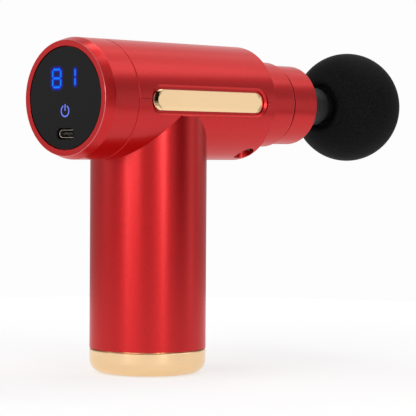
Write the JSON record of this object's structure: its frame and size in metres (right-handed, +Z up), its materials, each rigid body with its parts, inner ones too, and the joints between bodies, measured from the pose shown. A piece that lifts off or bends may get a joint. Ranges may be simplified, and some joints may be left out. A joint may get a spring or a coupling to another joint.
{
  "type": "massage gun",
  "caption": "T-shaped handheld percussion massager with a round barrel, upright cylindrical handle, rear display window and a push-in ball head on a stroking piston.",
  "frame": {"origin": "centre of the flat underside of the handle's end cap, where the gun stands", "axes": "+Z up along the handle and the motor's shaft, +X along the barrel towards the ball head, +Y to the gun's left seen from behind the display"},
  "size_m": [0.198, 0.0486, 0.1347],
  "materials": {
    "red_anodised": "satin",
    "gold_trim": "polished",
    "window_black": "gloss",
    "black_plastic": "matte",
    "grey_plastic": "satin",
    "ball_foam": "matte",
    "steel": "satin",
    "aluminium": "satin",
    "copper_winding": "satin",
    "magnet_iron": "satin",
    "rubber_seal": "matte",
    "circuit_board": "satin",
    "cell_wrap": "satin",
    "led_blue": "satin",
    "red_wire": "satin",
    "black_wire": "satin"
  },
  "bodies": {
    "housing": {"upper_housing": "red_anodised", "lower_housing": "red_anodised", "rear_bezel": "red_anodised", "display_window": "window_black", "led_digit_module": "led_blue", "touch_key_pad": "steel", "usb_c_shell": "steel", "usb_c_tongue": "black_plastic", "display_board": "circuit_board", "display_screw_left": "steel", "display_screw_right": "steel", "control_board": "circuit_board", "display_cable": "black_wire", "chassis": "black_plastic", "trim_left": "gold_trim", "trim_right": "gold_trim", "housing_screw_front_left": "steel", "housing_screw_rear_left": "steel", "housing_screw_front_right": "steel", "housing_screw_rear_right": "steel", "front_collar": "red_anodised", "collar_screw_left": "black_plastic", "collar_screw_right": "black_plastic", "nose_ring": "red_anodised", "nose_seal": "rubber_seal", "cylinder_liner": "aluminium", "motor_mount_plate": "aluminium", "motor_screw_front_left": "steel", "motor_screw_front_right": "steel", "motor_screw_rear_left": "steel", "motor_screw_rear_right": "steel", "motor_bearing_upper": "steel", "motor_bearing_lower": "steel", "stator_core": "magnet_iron", "stator_winding_upper": "copper_winding", "stator_winding_lower": "copper_winding", "motor_lead_a": "black_wire", "motor_lead_b": "black_wire", "motor_lead_c": "black_wire", "end_cap": "gold_trim", "cell_holder_lower": "black_plastic", "cell_holder_upper": "black_plastic", "battery_cell_1": "cell_wrap", "battery_cell_2": "cell_wrap", "battery_cell_3": "cell_wrap", "protection_board": "circuit_board", "battery_lead_positive": "red_wire", "battery_lead_negative": "black_wire"},
    "rotor": {"crank_counterweight": "steel", "motor_shaft": "steel", "rotor_can": "steel", "magnet_ring": "magnet_iron"},
    "rod": {"connecting_rod": "aluminium", "crank_bearing": "steel", "wrist_pin": "steel"},
    "piston": {"piston": "aluminium"},
    "head_seals": {"o_ring_1": "rubber_seal", "o_ring_2": "rubber_seal"},
    "head": {"head_stem": "grey_plastic", "massage_ball": "ball_foam"}
  },
  "joints": [
    {"name": "rotor_spin", "type": "hinge", "parent": "housing", "child": "rotor", "pos_m": [0, 0, 0.1104], "axis": [0, 0, 1], "continuous": true},
    {"name": "rod_swivel", "type": "hinge", "parent": "rotor", "child": "rod", "pos_m": [-0.003, 0, 0.1104], "axis": [0, 0, 1], "continuous": true},
    {"name": "piston_stroke", "type": "slide", "parent": "housing", "child": "piston", "axis": [1, 0, 0], "range_m": [0, 0.006]},
    {"name": "head_pull", "type": "slide", "parent": "piston", "child": "head_seals", "axis": [1, 0, 0], "range_m": [0, 0.03]},
    {"name": "head_twist", "type": "hinge", "parent": "head_seals", "child": "head", "pos_m": [0.0685, 0, 0.1104], "axis": [1, 0, 0], "continuous": true}
  ],
  "couplings": [
    {"joint": "rod_swivel", "follows": "rotor_spin", "ratio": -1}
  ]
}
